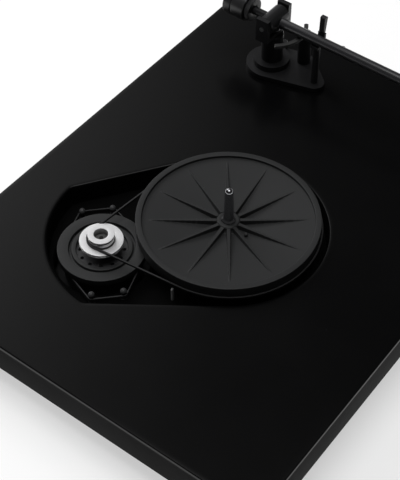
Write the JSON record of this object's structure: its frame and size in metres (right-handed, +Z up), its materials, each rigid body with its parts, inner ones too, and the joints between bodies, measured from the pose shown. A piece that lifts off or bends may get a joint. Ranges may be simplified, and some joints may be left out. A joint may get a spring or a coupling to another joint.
{
  "type": "turntable record player",
  "caption": "Belt-drive turntable with its outer platter off: black plinth, ribbed sub-platter, soft-hung motor and pulley in a milled pocket, and a straight gimbal tonearm.",
  "frame": {"origin": "middle of the plinth's footprint, on the surface that the feet stand on", "axes": "+Z up, +X to the player's right (the tonearm's side), +Y to the back"},
  "size_m": [0.42, 0.33, 0.1202],
  "materials": {
    "plinth_lacquer": "satin black lacquer on fibreboard",
    "rubber": "matte black rubber",
    "black_moulding": "satin black moulding",
    "turned_aluminium": "turned bright",
    "black_aluminium": "black anodised, satin",
    "black_painted_steel": "black paint on steel",
    "polished_steel": "polished",
    "bronze": "plain bearing bronze",
    "board_green": "green solder mask",
    "gold_plate": "gold plated",
    "carbon_tube": "clear coated carbon fibre tube",
    "red_moulding": "dark red moulding"
  },
  "bodies": {
    "root": {"plinth": "plinth_lacquer", "foot_front_left": "rubber", "foot_front_right": "rubber", "foot_back_left": "rubber", "foot_back_right": "rubber", "bearing_housing": "turned_aluminium", "bearing_bush": "bronze", "bearing_ball": "polished_steel", "bearing_nut": "black_painted_steel", "motor_can": "black_painted_steel", "motor_face": "black_painted_steel", "motor_ring": "black_moulding", "suspension_peg_1": "black_moulding", "suspension_peg_2": "black_moulding", "suspension_peg_3": "black_moulding", "suspension_peg_4": "black_moulding", "suspension_band": "rubber", "drive_belt": "rubber", "guide_post": "turned_aluminium", "motor_cover": "black_moulding", "cover_screw_1": "polished_steel", "cover_screw_2": "polished_steel", "cover_screw_3": "polished_steel", "power_box": "black_moulding", "dc_socket": "black_moulding", "circuit_board": "board_green", "phono_box": "black_moulding", "phono_socket_left": "gold_plate", "phono_socket_right": "gold_plate", "earth_terminal": "gold_plate", "switch_housing": "black_moulding", "arm_base": "black_aluminium", "arm_nut": "black_painted_steel", "arm_pillar": "black_aluminium", "arm_rest": "black_moulding", "cueing_cylinder": "black_aluminium"},
    "platter": {"sub_platter": "black_moulding", "spindle": "polished_steel"},
    "motor_drive": {"pulley": "turned_aluminium", "motor_shaft": "polished_steel", "motor_rotor": "black_painted_steel"},
    "cue_lever": {"cue_lever": "black_aluminium"},
    "cue_lift": {"lift_bar": "rubber"},
    "rest_latch": {"arm_rest_latch": "black_moulding"},
    "anti_skate": {"anti_skate_dial": "black_aluminium"},
    "arm_swing": {"gimbal_yoke": "black_aluminium", "pivot_screw_near": "polished_steel", "pivot_screw_far": "polished_steel", "swing_shaft": "polished_steel"},
    "arm_lift": {"arm_hub": "black_aluminium", "arm_tube": "carbon_tube", "headshell": "black_aluminium", "cartridge_body": "black_moulding", "cartridge_screw_near": "polished_steel", "cartridge_screw_far": "polished_steel", "stylus_holder": "red_moulding"},
    "counterweight": {"counterweight": "black_painted_steel"},
    "force_dial": {"force_dial": "black_moulding"},
    "power_switch": {"switch_rocker": "black_moulding"}
  },
  "joints": [
    {"name": "platter_spin", "type": "hinge", "parent": "root", "child": "platter", "pos_m": [-0.0174, -0.0017, 0.05], "axis": [0, 0, 1], "continuous": true},
    {"name": "pulley_spin", "type": "hinge", "parent": "root", "child": "motor_drive", "pos_m": [-0.0873, 0.0682, 0.05], "axis": [0, 0, 1], "continuous": true},
    {"name": "cue_lever_turn", "type": "hinge", "parent": "root", "child": "cue_lever", "pos_m": [0.18395, 0.05912, 0.0686], "axis": [0.9998, -0.0175, 0], "range_deg": [0, 40]},
    {"name": "cue_lift_drop", "type": "slide", "parent": "root", "child": "cue_lift", "axis": [0, 0, -1], "range_m": [0, 0.006]},
    {"name": "rest_latch_turn", "type": "hinge", "parent": "root", "child": "rest_latch", "pos_m": [0.16621, 0.03649, 0.1062], "axis": [-0.0175, -0.9998, 0], "range_deg": [0, 90]},
    {"name": "anti_skate_turn", "type": "hinge", "parent": "root", "child": "anti_skate", "pos_m": [0.18215, 0.08422, 0.0543], "axis": [0, 0, 1], "range_deg": [0, 270]},
    {"name": "tonearm_swing", "type": "hinge", "parent": "root", "child": "arm_swing", "pos_m": [0.1606, 0.0816, 0.1], "axis": [0, 0, -1], "range_deg": [0, 47]},
    {"name": "tonearm_lift", "type": "hinge", "parent": "arm_swing", "child": "arm_lift", "pos_m": [0.1606, 0.0816, 0.1], "axis": [-0.9998, 0.0175, 0], "range_deg": [0, 18]},
    {"name": "counterweight_slide", "type": "slide", "parent": "arm_lift", "child": "counterweight", "axis": [-0.0175, -0.9998, 0], "range_m": [-0.006, 0.006]},
    {"name": "force_dial_turn", "type": "hinge", "parent": "counterweight", "child": "force_dial", "pos_m": [0.16103, 0.1063, 0.1], "axis": [-0.0175, -0.9998, 0], "range_deg": [0, 300]},
    {"name": "power_switch_rock", "type": "hinge", "parent": "root", "child": "power_switch", "pos_m": [-0.13, -0.151, 0.0132], "axis": [0, 0, 1], "range_deg": [0, 10]}
  ],
  "couplings": [
    {"joint": "pulley_spin", "follows": "platter_spin", "ratio": 6.6621},
    {"joint": "cue_lift_drop", "follows": "cue_lever_turn", "m_per_rad": 0.008594}
  ]
}
